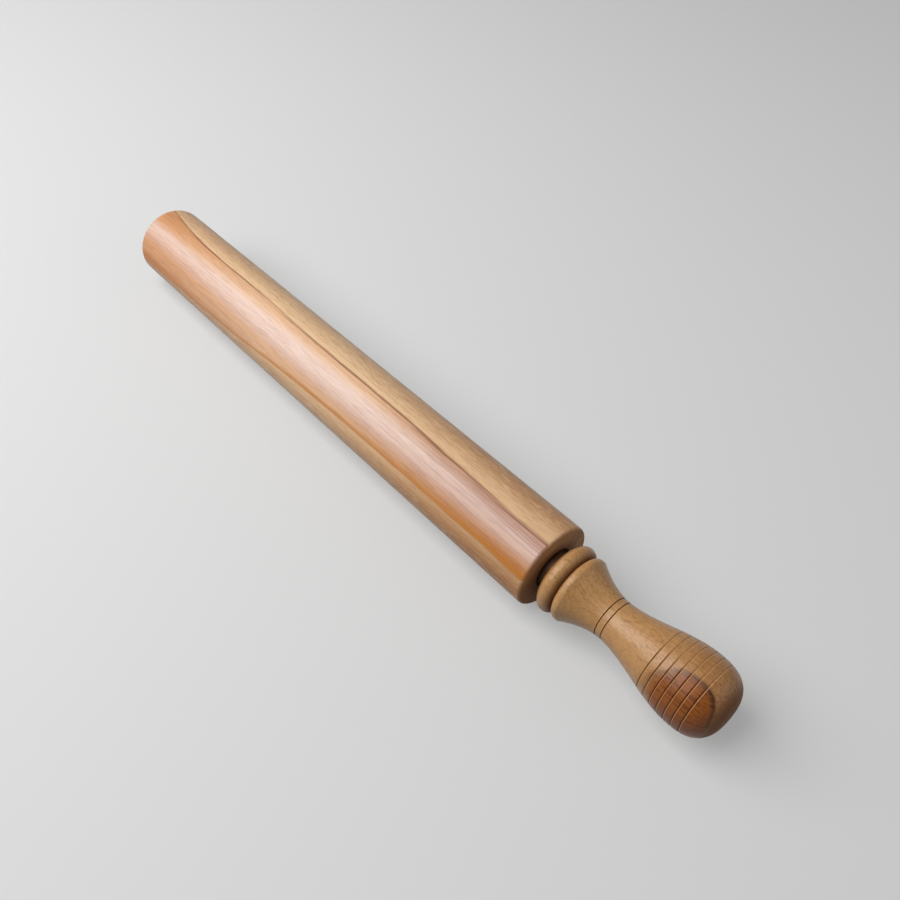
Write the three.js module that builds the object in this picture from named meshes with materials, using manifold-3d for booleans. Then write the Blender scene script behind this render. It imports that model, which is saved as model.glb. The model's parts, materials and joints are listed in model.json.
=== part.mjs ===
// A rolling pin with one turned handle. The wooden roller runs on two ball bearings on a steel axle,
// and the axle is screwed into the handle. Sizes are in millimetres, +X runs along the pin towards the
// handle's tip and +Z is up. Along the pin, places are measured from the roller's face at the handle:
// positive into the handle, negative into the roller.
import * as THREE from 'three';
import { mergeVertices } from 'three/addons/utils/BufferGeometryUtils.js';
import Module from 'manifold-3d';

const wasm = await Module();
wasm.setup();

// Roller
const ROLLER_RADIUS = 22.5;
const ROLLER_LENGTH = 347;
const ROLLER_EDGE_ROUND = 1.6;
const PLUG_THICKNESS = 8;
const BORE_RADIUS = 7.6;

// Handle: nose, bead, bell, neck, bulb and dome, from the roller to the tip
const NOSE_RADIUS = 9.5;
const BEAD_GAP = 4.2;
const BEAD_WIDTH = 9.4;
const BEAD_RADIUS = 18.4;
const BEAD_HEIGHT = 6;
const LIP_ROUND = 2.8;
const LIP_HEIGHT = 2.8;
const LIP_LAND = 1.2;
const BELL_RADIUS = 17.3;
const BELL_LENGTH = 19.9;
const BELL_SWEEP = 1.8;
const NECK_RADIUS = 10.5;
const SWELL_LENGTH = 43.5;
const BULB_RADIUS = 18.5;
const DOME_LENGTH = 18.6;
const DOME_SQUARENESS = 2.7;

// Lines cut into the handle
const NECK_LINES = 2;
const NECK_LINE_PITCH = 3.3;
const NECK_LINES_BEFORE_NARROWEST = 0.5;
const NECK_LINE_WIDTH = 0.8;
const NECK_LINE_DEPTH = 0.4;
const BULB_GROOVES = 7;
const BULB_GROOVE_PITCH = 3.97;
const BULB_GROOVES_BEFORE_WIDEST = 5;
const BULB_GROOVE_WIDTH = 1;
const BULB_GROOVE_DEPTH = 0.6;

// Axle and the pieces clamped on it
const AXLE_RADIUS = 4;
const AXLE_GRIP = 42;
const AXLE_END_CHAMFER = 0.8;
const AXLE_PAST_NUT = 1;
const INSERT_RADIUS = 6;
const INSERT_LENGTH = 22;
const INSERT_FLANGE_RADIUS = 7.2;
const INSERT_FLANGE_THICKNESS = 1.5;
const WASHER_RADIUS = 5.7;
const WASHER_THICKNESS = 1;
const DISTANCE_TUBE_WALL = 1.4;
const NUT_ACROSS_FLATS = 13;
const NUT_HEX_HEIGHT = 5.5;
const NUT_COLLAR_RADIUS = 5.6;
const NUT_COLLAR_HEIGHT = 2.5;
const NUT_CHAMFER = 0.7;

// Ball bearings, 8 x 22 x 7
const BEARING_OUTER_RADIUS = 11;
const BEARING_WIDTH = 7;
const BEARING_RECESS = 3;
const BALLS = 7;
const BALL_RADIUS = 1.98;
const BALL_PITCH_RADIUS = 7.5;
const RACEWAY_DEPTH = 0.65;
const CAGE_WALL = 1.8;
const CAGE_BACK = 0.4;
const CAGE_PRONG = 1;
const SEAL_THICKNESS = 0.5;
const SEAL_RECESS = 0.3;
const SEAL_LEDGE = 0.65;

// Clearances
const SLIP_FIT = 0.05;
const FACE_GAP = 0.05;
const BALL_CLEARANCE = 0.12;
const RUNNING_GAP = 0.25;
const CHAMBER_CLEARANCE = 1.4;
const HOLE_BOTTOM_CLEARANCE = 1;

// Fineness of the round forms
const SIDES = 28;
const POCKET_SIDES = 14;
const BALL_SIDES = 10;
const BALL_RINGS = 7;
const EDGE_STEPS = 3;
const BEAD_STEPS = 8;
const LIP_STEPS = 3;
const RACEWAY_STEPS = 4;
const SWEEP_STEPS = 8;
const DOME_STEPS = 9;

// Places along the pin
const beadMiddle = BEAD_GAP + BEAD_WIDTH / 2;
const lipStart = BEAD_GAP + BEAD_WIDTH;
const lipTop = lipStart + LIP_ROUND;
const bellStart = lipTop + LIP_LAND;
const neck = bellStart + BELL_LENGTH;
const bulb = neck + SWELL_LENGTH;
const tip = bulb + DOME_LENGTH;
const nearBearing = -BEARING_RECESS - BEARING_WIDTH / 2;
const nearShoulder = -BEARING_RECESS - BEARING_WIDTH - FACE_GAP;
const noseFace = -BEARING_RECESS + FACE_GAP + WASHER_THICKNESS + FACE_GAP;
const nutHeight = NUT_HEX_HEIGHT + NUT_COLLAR_HEIGHT;
const plugFace = -ROLLER_LENGTH + PLUG_THICKNESS;
const axleFarEnd = plugFace + CHAMBER_CLEARANCE;
const nutOuterFace = axleFarEnd + AXLE_PAST_NUT;
const nutInnerFace = nutOuterFace + nutHeight;
const farWasherFace = nutInnerFace + FACE_GAP + WASHER_THICKNESS;
const farBearing = farWasherFace + FACE_GAP + BEARING_WIDTH / 2;
const farShoulder = farBearing + BEARING_WIDTH / 2 + FACE_GAP;
const axleNearEnd = noseFace + AXLE_GRIP;

// Radii that follow from what they fit
const boreOnAxle = AXLE_RADIUS + SLIP_FIT;
const pocketRadius = BEARING_OUTER_RADIUS + SLIP_FIT;
const racewayRadius = BALL_RADIUS + BALL_CLEARANCE;
const innerLand = BALL_PITCH_RADIUS - racewayRadius + RACEWAY_DEPTH;
const outerLand = BALL_PITCH_RADIUS + racewayRadius - RACEWAY_DEPTH;

const oiledWood = (color) => new THREE.MeshStandardMaterial({ color, roughness: 0.45, metalness: 0 });
const metal = (color, roughness) => new THREE.MeshStandardMaterial({ color, roughness, metalness: 1 });
const moulded = (color) => new THREE.MeshStandardMaterial({ color, roughness: 0.6, metalness: 0 });

// A point of a turned outline: its radius and its place along the pin.
const at = (radius, place) => new THREE.Vector2(radius, place);

// Revolves an outline about the pin's axis. Each flat touches the true circle, and one flat faces down.
function turned(outline, sides = SIDES) {
  const toCorner = 1 / Math.cos(Math.PI / sides);
  const corners = outline.map((point) => at(point.x * toCorner, point.y));
  const geometry = new THREE.LatheGeometry(corners, sides, Math.PI / sides, 2 * Math.PI);
  geometry.rotateZ(-Math.PI / 2);
  return geometry;
}

// A plain ring or tube between two places.
function ring(innerRadius, outerRadius, start, end) {
  return turned([
    at(innerRadius, start),
    at(outerRadius, start),
    at(outerRadius, end),
    at(innerRadius, end),
    at(innerRadius, start),
  ]);
}

// Points of an elliptical arc in an outline, from one angle to another.
function arc(centre, halfLength, height, fromAngle, toAngle, steps) {
  const points = [];
  for (let i = 0; i <= steps; i += 1) {
    const angle = THREE.MathUtils.lerp(fromAngle, toAngle, i / steps);
    points.push(at(centre.x + height * Math.sin(angle), centre.y + halfLength * Math.cos(angle)));
  }
  return points;
}

function solidOf(geometry) {
  const bare = geometry.clone();
  bare.deleteAttribute('normal');
  bare.deleteAttribute('uv');
  const merged = mergeVertices(bare);
  const vertProperties = new Float32Array(merged.attributes.position.array);
  const triVerts = new Uint32Array(merged.index.array);
  const mesh = new wasm.Mesh({ numProp: 3, vertProperties, triVerts });
  mesh.merge();
  return new wasm.Manifold(mesh);
}

function geometryOf(solid) {
  const mesh = solid.getMesh();
  const geometry = new THREE.BufferGeometry();
  geometry.setAttribute('position', new THREE.BufferAttribute(mesh.vertProperties, 3));
  geometry.setIndex(new THREE.BufferAttribute(mesh.triVerts, 1));
  geometry.computeVertexNormals();
  return geometry;
}

function piece(name, geometry, material) {
  const mesh = new THREE.Mesh(geometry, material);
  mesh.name = name;
  return mesh;
}

// Radius of the bell, the swelling grip and the domed end at a place along the handle.
function gripRadius(place) {
  if (place <= neck) {
    const toNeck = Math.min(1, Math.max(0, (neck - place) / BELL_LENGTH));
    return NECK_RADIUS + (BELL_RADIUS - NECK_RADIUS) * toNeck ** BELL_SWEEP;
  }
  if (place <= bulb) {
    const swell = THREE.MathUtils.smoothstep(place, neck, bulb);
    return THREE.MathUtils.lerp(NECK_RADIUS, BULB_RADIUS, swell);
  }
  const along = Math.min(1, (place - bulb) / DOME_LENGTH);
  return BULB_RADIUS * (1 - along ** DOME_SQUARENESS) ** (1 / DOME_SQUARENESS);
}

// Middles of a set of evenly spaced cut lines.
function lineSet(count, pitch, middle, width, depth) {
  return Array.from({ length: count }, (_, i) => ({
    place: middle + (i - (count - 1) / 2) * pitch,
    halfWidth: width / 2,
    depth,
  }));
}

// The grip's outline from the bell to the tip, with each cut line as a narrow V.
function gripOutline() {
  const neckMiddle = neck - NECK_LINES_BEFORE_NARROWEST;
  const bulbMiddle = bulb - BULB_GROOVES_BEFORE_WIDEST;
  const cuts = [
    ...lineSet(NECK_LINES, NECK_LINE_PITCH, neckMiddle, NECK_LINE_WIDTH, NECK_LINE_DEPTH),
    ...lineSet(BULB_GROOVES, BULB_GROOVE_PITCH, bulbMiddle, BULB_GROOVE_WIDTH, BULB_GROOVE_DEPTH),
  ];
  const places = [];
  for (let i = 0; i < SWEEP_STEPS; i += 1) {
    places.push(bellStart + (BELL_LENGTH * i) / SWEEP_STEPS);
    places.push(neck + (SWELL_LENGTH * i) / SWEEP_STEPS);
  }
  for (let i = 0; i < DOME_STEPS; i += 1) {
    const angle = (Math.PI / 2) * (i / DOME_STEPS);
    places.push(bulb + DOME_LENGTH * Math.sin(angle) ** (2 / DOME_SQUARENESS));
  }
  const clearOfCuts = (place) => cuts.every((cut) => Math.abs(place - cut.place) > 2 * cut.halfWidth);
  const outline = places.filter(clearOfCuts).map((place) => at(gripRadius(place), place));
  for (const { place, halfWidth, depth } of cuts) {
    outline.push(at(gripRadius(place - halfWidth), place - halfWidth));
    outline.push(at(gripRadius(place) - depth, place));
    outline.push(at(gripRadius(place + halfWidth), place + halfWidth));
  }
  outline.sort((a, b) => a.y - b.y);
  outline.push(at(0, tip));
  return outline;
}

// The handle, with a blind hole for the axle and a wider seat for the threaded insert at its nose.
function handle() {
  const holeBottom = axleNearEnd + HOLE_BOTTOM_CLEARANCE;
  const insertEnd = noseFace + INSERT_LENGTH + FACE_GAP;
  const flangeSeat = noseFace + INSERT_FLANGE_THICKNESS + FACE_GAP;
  const beadCentre = at(BEAD_RADIUS - BEAD_HEIGHT, beadMiddle);
  const lipCentre = at(BELL_RADIUS - LIP_HEIGHT, lipTop);
  const bead = arc(beadCentre, BEAD_WIDTH / 2, BEAD_HEIGHT, Math.PI, 0, BEAD_STEPS);
  const lip = arc(lipCentre, LIP_ROUND, LIP_HEIGHT, Math.PI, Math.PI / 2, LIP_STEPS);
  const outline = [
    at(0, holeBottom),
    at(boreOnAxle, holeBottom),
    at(boreOnAxle, insertEnd),
    at(INSERT_RADIUS + SLIP_FIT, insertEnd),
    at(INSERT_RADIUS + SLIP_FIT, flangeSeat),
    at(INSERT_FLANGE_RADIUS + SLIP_FIT, flangeSeat),
    at(INSERT_FLANGE_RADIUS + SLIP_FIT, noseFace),
    at(NOSE_RADIUS, noseFace),
    at(NOSE_RADIUS, BEAD_GAP),
    ...bead.slice(0, -1),
    ...lip,
    ...gripOutline(),
  ];
  return piece('handle', turned(outline), oiledWood(0xb98a52));
}

// The brass insert that the axle screws into. Its flange is flush with the handle's nose.
function threadedInsert() {
  const flangeBack = noseFace + INSERT_FLANGE_THICKNESS;
  const end = noseFace + INSERT_LENGTH;
  const outline = [
    at(boreOnAxle, noseFace),
    at(INSERT_FLANGE_RADIUS, noseFace),
    at(INSERT_FLANGE_RADIUS, flangeBack),
    at(INSERT_RADIUS, flangeBack),
    at(INSERT_RADIUS, end),
    at(boreOnAxle, end),
    at(boreOnAxle, noseFace),
  ];
  return piece('threaded_insert', turned(outline), metal(0xc9a24b, 0.35));
}

function axle() {
  const tipRadius = AXLE_RADIUS - AXLE_END_CHAMFER;
  const outline = [
    at(0, axleFarEnd),
    at(tipRadius, axleFarEnd),
    at(AXLE_RADIUS, axleFarEnd + AXLE_END_CHAMFER),
    at(AXLE_RADIUS, axleNearEnd - AXLE_END_CHAMFER),
    at(tipRadius, axleNearEnd),
    at(0, axleNearEnd),
  ];
  return piece('axle', turned(outline), metal(0xb4b8bc, 0.3));
}

function distanceTube() {
  const start = farBearing + BEARING_WIDTH / 2 + FACE_GAP;
  const end = nearBearing - BEARING_WIDTH / 2 - FACE_GAP;
  const tube = ring(boreOnAxle, boreOnAxle + DISTANCE_TUBE_WALL, start, end);
  return piece('distance_tube', tube, metal(0xc2c5c8, 0.4));
}

function washer(name, start) {
  const disc = ring(boreOnAxle, WASHER_RADIUS, start, start + WASHER_THICKNESS);
  return piece(name, disc, metal(0xb0b3b6, 0.4));
}

// The self-locking nut: a hexagon with eased corners and a round collar on its outer side.
function lockNut() {
  const cornerRadius = NUT_ACROSS_FLATS / 2 / Math.cos(Math.PI / 6);
  const hexagon = new THREE.CylinderGeometry(cornerRadius, cornerRadius, nutHeight, 6);
  hexagon.rotateZ(Math.PI / 2);
  hexagon.translate(nutOuterFace + nutHeight / 2, 0, 0);
  const hexStart = nutOuterFace + NUT_COLLAR_HEIGHT;
  const blank = turned([
    at(boreOnAxle, nutOuterFace),
    at(NUT_COLLAR_RADIUS, nutOuterFace),
    at(NUT_COLLAR_RADIUS, hexStart),
    at(cornerRadius, hexStart),
    at(cornerRadius, nutInnerFace - NUT_CHAMFER),
    at(cornerRadius - NUT_CHAMFER, nutInnerFace),
    at(boreOnAxle, nutInnerFace),
    at(boreOnAxle, nutOuterFace),
  ]);
  const nut = solidOf(blank).intersect(solidOf(hexagon));
  return piece('lock_nut', geometryOf(nut), metal(0xa9adb1, 0.35));
}

// The roller, bored through, with a pocket for a bearing at each end.
function roller() {
  const farFace = -ROLLER_LENGTH;
  const edge = ROLLER_EDGE_ROUND;
  const corner = ROLLER_RADIUS - edge;
  const farEdge = arc(at(corner, farFace + edge), edge, edge, Math.PI, Math.PI / 2, EDGE_STEPS);
  const nearEdge = arc(at(corner, -edge), edge, edge, Math.PI / 2, 0, EDGE_STEPS);
  const outline = [
    at(pocketRadius, farFace),
    ...farEdge,
    ...nearEdge,
    at(pocketRadius, 0),
    at(pocketRadius, nearShoulder),
    at(BORE_RADIUS, nearShoulder),
    at(BORE_RADIUS, farShoulder),
    at(pocketRadius, farShoulder),
    at(pocketRadius, farFace),
  ];
  return piece('roller', turned(outline), oiledWood(0xc4884f));
}

// The wooden plug that closes the far pocket, flush with the roller's end.
function endPlug() {
  const outline = [
    at(0, -ROLLER_LENGTH),
    at(BEARING_OUTER_RADIUS, -ROLLER_LENGTH),
    at(BEARING_OUTER_RADIUS, plugFace),
    at(0, plugFace),
  ];
  return piece('end_plug', turned(outline), oiledWood(0xa9773f));
}

// The raceway's arc in a ring's outline. Side is -1 on the inner ring and 1 on the outer ring.
function raceway(middle, side) {
  const reach = Math.acos(1 - RACEWAY_DEPTH / racewayRadius);
  const across = side * (Math.PI / 2);
  const centre = at(BALL_PITCH_RADIUS, middle);
  const from = across + side * reach;
  const to = across - side * reach;
  return arc(centre, racewayRadius, racewayRadius, from, to, RACEWAY_STEPS);
}

function innerRing(name, middle) {
  const start = middle - BEARING_WIDTH / 2;
  const end = middle + BEARING_WIDTH / 2;
  const outline = [
    at(boreOnAxle, start),
    at(innerLand, start),
    ...raceway(middle, -1),
    at(innerLand, end),
    at(boreOnAxle, end),
    at(boreOnAxle, start),
  ];
  return piece(`${name}_inner_ring`, turned(outline), metal(0xc8cbce, 0.2));
}

// The outer ring has a shallow ledge at each side that holds a seal.
function outerRing(name, middle) {
  const start = middle - BEARING_WIDTH / 2;
  const end = middle + BEARING_WIDTH / 2;
  const ledge = outerLand + SEAL_LEDGE;
  const ledgeDepth = SEAL_RECESS + SEAL_THICKNESS + FACE_GAP;
  const outline = [
    at(BEARING_OUTER_RADIUS, start),
    at(BEARING_OUTER_RADIUS, end),
    at(ledge, end),
    at(ledge, end - ledgeDepth),
    at(outerLand, end - ledgeDepth),
    ...raceway(middle, 1).reverse(),
    at(outerLand, start + ledgeDepth),
    at(ledge, start + ledgeDepth),
    at(ledge, start),
    at(BEARING_OUTER_RADIUS, start),
  ];
  return piece(`${name}_outer_ring`, turned(outline), metal(0xc8cbce, 0.2));
}

// One of the bearing's two seals. Side is 1 towards the handle and -1 towards the roller's far end.
function seal(name, middle, side) {
  const outerFace = middle + side * (BEARING_WIDTH / 2 - SEAL_RECESS);
  const innerFace = outerFace - side * SEAL_THICKNESS;
  const start = Math.min(outerFace, innerFace);
  const end = Math.max(outerFace, innerFace);
  const disc = ring(innerLand + RUNNING_GAP, outerLand + SEAL_LEDGE - SLIP_FIT, start, end);
  return piece(`${name}_seal_${side > 0 ? 'handle_side' : 'far_side'}`, disc, moulded(0x2b2b2d));
}

// The crown cage: a ring whose pockets are open on one side, so that the balls snap in.
function cage(name, middle) {
  const pocketHole = BALL_RADIUS + RUNNING_GAP;
  const inner = BALL_PITCH_RADIUS - CAGE_WALL / 2;
  const outer = BALL_PITCH_RADIUS + CAGE_WALL / 2;
  let crown = solidOf(ring(inner, outer, middle - pocketHole - CAGE_BACK, middle + CAGE_PRONG));
  for (let i = 0; i < BALLS; i += 1) {
    const drill = new THREE.CylinderGeometry(pocketHole, pocketHole, 2 * CAGE_WALL, POCKET_SIDES);
    drill.rotateX(Math.PI / 2);
    drill.translate(middle, 0, BALL_PITCH_RADIUS);
    drill.rotateX((2 * Math.PI * i) / BALLS);
    crown = crown.subtract(solidOf(drill));
  }
  return piece(`${name}_cage`, geometryOf(crown), moulded(0x8a7d5f));
}

function ball(name, middle, index) {
  const sphere = new THREE.SphereGeometry(BALL_RADIUS, BALL_SIDES, BALL_RINGS);
  sphere.translate(middle, 0, BALL_PITCH_RADIUS);
  sphere.rotateX((2 * Math.PI * index) / BALLS);
  return piece(`${name}_ball_${index + 1}`, sphere, metal(0xd6d8da, 0.1));
}

function bearing(name, middle) {
  const pieces = [innerRing(name, middle), outerRing(name, middle), cage(name, middle)];
  pieces.push(seal(name, middle, 1), seal(name, middle, -1));
  for (let i = 0; i < BALLS; i += 1) {
    pieces.push(ball(name, middle, i));
  }
  return pieces;
}

const pin = new THREE.Group();
pin.add(handle(), threadedInsert(), axle(), distanceTube());
pin.add(washer('handle_washer', noseFace - FACE_GAP - WASHER_THICKNESS));
pin.add(washer('far_washer', nutInnerFace + FACE_GAP));
pin.add(lockNut(), roller(), endPlug());
pin.add(...bearing('handle_bearing', nearBearing), ...bearing('far_bearing', farBearing));

// The pin lies on its roller, with the middle of its length over the origin.
pin.position.set((ROLLER_LENGTH - tip) / 2, 0, ROLLER_RADIUS);

export default pin;
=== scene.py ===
"""A rolling pin with one turned handle: fine surfaces and finishes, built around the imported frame."""

import json
import logging
import math
from dataclasses import dataclass, replace
from enum import Enum
from typing import Optional, Sequence, Union

import bmesh
import bpy
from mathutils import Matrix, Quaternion, Vector


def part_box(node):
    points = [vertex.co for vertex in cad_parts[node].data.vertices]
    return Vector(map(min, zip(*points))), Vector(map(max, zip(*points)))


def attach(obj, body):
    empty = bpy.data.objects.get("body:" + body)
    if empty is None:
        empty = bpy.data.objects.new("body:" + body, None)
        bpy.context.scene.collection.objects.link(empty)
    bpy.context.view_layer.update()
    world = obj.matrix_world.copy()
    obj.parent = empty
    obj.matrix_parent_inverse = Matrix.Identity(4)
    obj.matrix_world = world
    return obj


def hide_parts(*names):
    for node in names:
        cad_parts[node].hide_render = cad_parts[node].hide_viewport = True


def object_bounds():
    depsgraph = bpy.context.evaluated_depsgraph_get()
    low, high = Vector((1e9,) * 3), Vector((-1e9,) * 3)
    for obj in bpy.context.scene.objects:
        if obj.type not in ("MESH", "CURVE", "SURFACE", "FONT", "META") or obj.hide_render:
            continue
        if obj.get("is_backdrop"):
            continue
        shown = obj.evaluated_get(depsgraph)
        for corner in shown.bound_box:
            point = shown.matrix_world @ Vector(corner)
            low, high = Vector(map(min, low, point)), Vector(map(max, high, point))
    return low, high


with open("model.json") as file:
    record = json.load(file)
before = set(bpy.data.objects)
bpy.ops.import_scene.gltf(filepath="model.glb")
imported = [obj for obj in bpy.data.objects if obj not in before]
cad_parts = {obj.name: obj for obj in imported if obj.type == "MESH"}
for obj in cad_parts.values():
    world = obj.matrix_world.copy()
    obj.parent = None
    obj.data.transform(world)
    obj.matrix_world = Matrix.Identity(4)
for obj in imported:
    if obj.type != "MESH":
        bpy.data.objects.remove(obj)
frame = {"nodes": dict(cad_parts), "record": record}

Socket = bpy.types.NodeSocket
Value = Union[float, Socket]
Colour = tuple[float, float, float]
Tint = Union[Colour, Socket]
Triple = tuple[float, float, float]
Pair = tuple[float, float]

LOG = logging.getLogger("rolling_pin")
MM = 0.001
# Each station's painted tone: shade in the cuts and hollows, and a highlight on the cuts' edges.
PAINTED_TONE_LAYER = "cut_shade_and_highlight"
WHITE: Colour = (1.0, 1.0, 1.0)

# The numbers of a Mix node's colour sockets, which share their names with its other sockets.
FIRST_COLOUR = 6
SECOND_COLOUR = 7
MIXED_COLOUR = 2

# The middle of a noise pattern, and what lifts an edge's lean into a curve's range from 0 to 1.
NOISE_MIDDLE = 0.5
LEAN_SHIFT = 0.5

# The directions in which an arc starts and ends, in degrees.
TO_ROLLER = 180.0
UPWARD = 90.0
TO_TIP = 0.0

# Vertices closer than this are merged, and edges with a larger angle in degrees are shaded sharp.
MERGE_DISTANCE = 0.001 * MM
SHARP_ANGLE = 40.0


class Body(Enum):
    """The bodies of the frame that new pieces ride on."""

    HANDLE = "handle"
    ROLLER = "roller"


class Finish(Enum):
    """The record's material slots."""

    ROLLER_WOOD = "roller_wood"
    HANDLE_WOOD = "handle_wood"
    PLUG_WOOD = "plug_wood"
    AXLE_STEEL = "axle_steel"
    BEARING_STEEL = "bearing_steel"
    INSERT_BRASS = "insert_brass"
    CAGE_PLASTIC = "cage_plastic"
    SEAL_RUBBER = "seal_rubber"


def linear(level: int) -> float:
    """Turns a screen's level, from 0 to 255, into the linear amount that a shader takes."""
    share = level / 255
    return share / 12.92 if share <= 0.04045 else ((share + 0.055) / 1.055) ** 2.4


def srgb(red: int, green: int, blue: int) -> Colour:
    """Turns a colour as it is seen on a screen into the linear colour that a shader takes."""
    return linear(red), linear(green), linear(blue)


def smoothstep(low: float, high: float, value: float) -> float:
    """Eases from 0 at low to 1 at high."""
    share = min(1.0, max(0.0, (value - low) / (high - low)))
    return share * share * (3 - 2 * share)


@dataclass(frozen=True)
class Pattern:
    """A noise pattern: how often it repeats in a metre along each axis, and its finer layers."""

    scale: Triple
    detail: float = 2.0
    roughness: float = 0.5


@dataclass(frozen=True)
class Fade:
    """A smooth change from one amount to another, as a value goes from low to high."""

    low: Value
    high: Value
    start: float = 0.0
    end: float = 1.0


class Graph:
    """Lays out the nodes of a material or of the world."""

    def __init__(self, tree: bpy.types.NodeTree) -> None:
        """Starts with no nodes."""
        self.tree = tree
        tree.nodes.clear()

    def feed(self, socket: Socket, value: Union[Value, Tint]) -> None:
        """Links a socket to another socket, or sets its plain value.

        Args:
            socket: The socket to feed.
            value: Another socket, a number, a vector or a colour.
        """
        if isinstance(value, bpy.types.NodeSocket):
            self.tree.links.new(value, socket)
        elif socket.type == "RGBA":
            socket.default_value = (*value, 1.0)
        else:
            socket.default_value = value

    def node(self, kind: str, *values: Union[Value, Tint], **settings: str) -> bpy.types.Node:
        """Adds a node.

        Args:
            kind: The node's type.
            values: What its first sockets are fed with, in order.
            settings: Its settings.

        Returns:
            The node.
        """
        node = self.tree.nodes.new(kind)
        for name, setting in settings.items():
            setattr(node, name, setting)
        for socket, value in zip(node.inputs, values):
            self.feed(socket, value)
        return node

    def math(self, operation: str, *values: Value) -> Socket:
        """Gives the result of a Math node."""
        return self.node("ShaderNodeMath", *values, operation=operation).outputs[0]

    def times(self, first: Socket, *others: Value) -> Socket:
        """Multiplies a value by others in turn.

        Args:
            first: The first value.
            others: What it is multiplied by.

        Returns:
            The product.
        """
        for other in others:
            first = self.math("MULTIPLY", first, other)
        return first

    def most(self, first: Value, second: Value) -> Socket:
        """Gives the larger of two values."""
        return self.math("MAXIMUM", first, second)

    def rest(self, share: Value) -> Socket:
        """Gives what a share leaves of 1."""
        return self.math("SUBTRACT", 1.0, share)

    def split(self, output: str) -> tuple[Socket, ...]:
        """Gives the x, y and z of one of the Texture Coordinate node's outputs."""
        place = self.node("ShaderNodeTexCoord").outputs[output]
        return tuple(self.node("ShaderNodeSeparateXYZ", place).outputs)

    def vector(self, x: Value, y: Value, z: Value) -> Socket:
        """Joins three values into a vector."""
        return self.node("ShaderNodeCombineXYZ", x, y, z).outputs[0]

    def noise(self, place: Socket, pattern: Pattern) -> Socket:
        """Adds a Noise Texture, stretched by its own amount along each axis.

        Args:
            place: The place, in metres.
            pattern: The pattern.

        Returns:
            The noise, from 0 to 1.
        """
        stretched = self.node("ShaderNodeVectorMath", place, pattern.scale, operation="MULTIPLY")
        node = self.node("ShaderNodeTexNoise", stretched.outputs[0])
        node.inputs["Scale"].default_value = 1.0
        node.inputs["Detail"].default_value = pattern.detail
        node.inputs["Roughness"].default_value = pattern.roughness
        return node.outputs["Fac"]

    def fade(self, value: Value, fade: Fade) -> Socket:
        """Gives the amount of a smooth change that a value drives."""
        amounts = (value, fade.low, fade.high, fade.start, fade.end)
        return self.node("ShaderNodeMapRange", *amounts, interpolation_type="SMOOTHSTEP").outputs[0]

    def curve(self, value: Value, points: Sequence[Pair]) -> Socket:
        """Runs a value through a smooth curve through given points.

        Args:
            value: The value, from 0 to 1.
            points: The curve's points, from 0 to 1 both ways.

        Returns:
            The curve's height there.
        """
        node = self.node("ShaderNodeFloatCurve")
        line = node.mapping.curves[0]
        for point, place in zip(line.points, (points[0], points[-1])):
            point.location = place
        for place in points[1:-1]:
            line.points.new(*place)
        node.mapping.update()
        self.feed(node.inputs["Value"], value)
        return node.outputs["Value"]

    def mix(self, share: Value, first: Tint, second: Tint, blend: str = "MIX") -> Socket:
        """Mixes two colours.

        Args:
            share: How much of the second colour shows.
            first: The colour below.
            second: The colour above.
            blend: The way they mix.

        Returns:
            The mixed colour.
        """
        node = self.node("ShaderNodeMix", share, data_type="RGBA", blend_type=blend)
        self.feed(node.inputs[FIRST_COLOUR], first)
        self.feed(node.inputs[SECOND_COLOUR], second)
        return node.outputs[MIXED_COLOUR]

    def seen(self) -> Socket:
        """Gives 1 for rays that show the background, straight or in a reflection, and 0 for others.

        Returns:
            The socket.
        """
        path = self.node("ShaderNodeLightPath").outputs
        shown = self.most(path["Is Camera Ray"], path["Is Glossy Ray"])
        return self.most(shown, path["Is Transmission Ray"])


class Paint(Graph):
    """Lays out a material that ends in a Principled shader."""

    def __init__(self, name: str) -> None:
        """Starts the material.

        Args:
            name: Its name.
        """
        self.material = bpy.data.materials.new(name)
        self.material.use_nodes = True
        super().__init__(self.material.node_tree)
        self.shader = self.node("ShaderNodeBsdfPrincipled")
        self.node("ShaderNodeOutputMaterial", self.shader.outputs["BSDF"])

    def shade(self, name: str, value: Union[Value, Tint]) -> None:
        """Feeds one of the shader's sockets."""
        self.feed(self.shader.inputs[name], value)

    def bump(self, height: Socket, distance: float, strength: float) -> None:
        """Adds a fine relief to the shader.

        Args:
            height: The relief's height, from 0 to 1.
            distance: The relief's depth in metres.
            strength: How strongly it tilts the surface.
        """
        node = self.node("ShaderNodeBump")
        for name, value in (("Distance", distance), ("Strength", strength), ("Height", height)):
            self.feed(node.inputs[name], value)
        self.shade("Normal", node.outputs["Normal"])


@dataclass(frozen=True)
class HeartEdge:
    """Where the heartwood starts, at one place along a piece of timber.

    Its share is the place along the piece, from 0 to 1. Its height is the distance from the pin's
    axis, and its lean is how much that distance grows across the piece.
    """

    share: float
    height: float
    lean: float

    @classmethod
    def between(cls, share: float, radius: float, lower: float, upper: float) -> "HeartEdge":
        """Makes the edge that meets a round piece's surface at two angles from the heartwood's middle.

        Args:
            share: The place along the piece.
            radius: The piece's radius.
            lower: The angle of the lower meeting point, in degrees, below 0.
            upper: The angle of the upper one.

        Returns:
            The edge.
        """
        low, high = math.radians(lower), math.radians(upper)
        lean = (math.cos(high) - math.cos(low)) / (math.sin(high) - math.sin(low))
        return cls(share, radius * (math.cos(high) - lean * math.sin(high)), lean)


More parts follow.
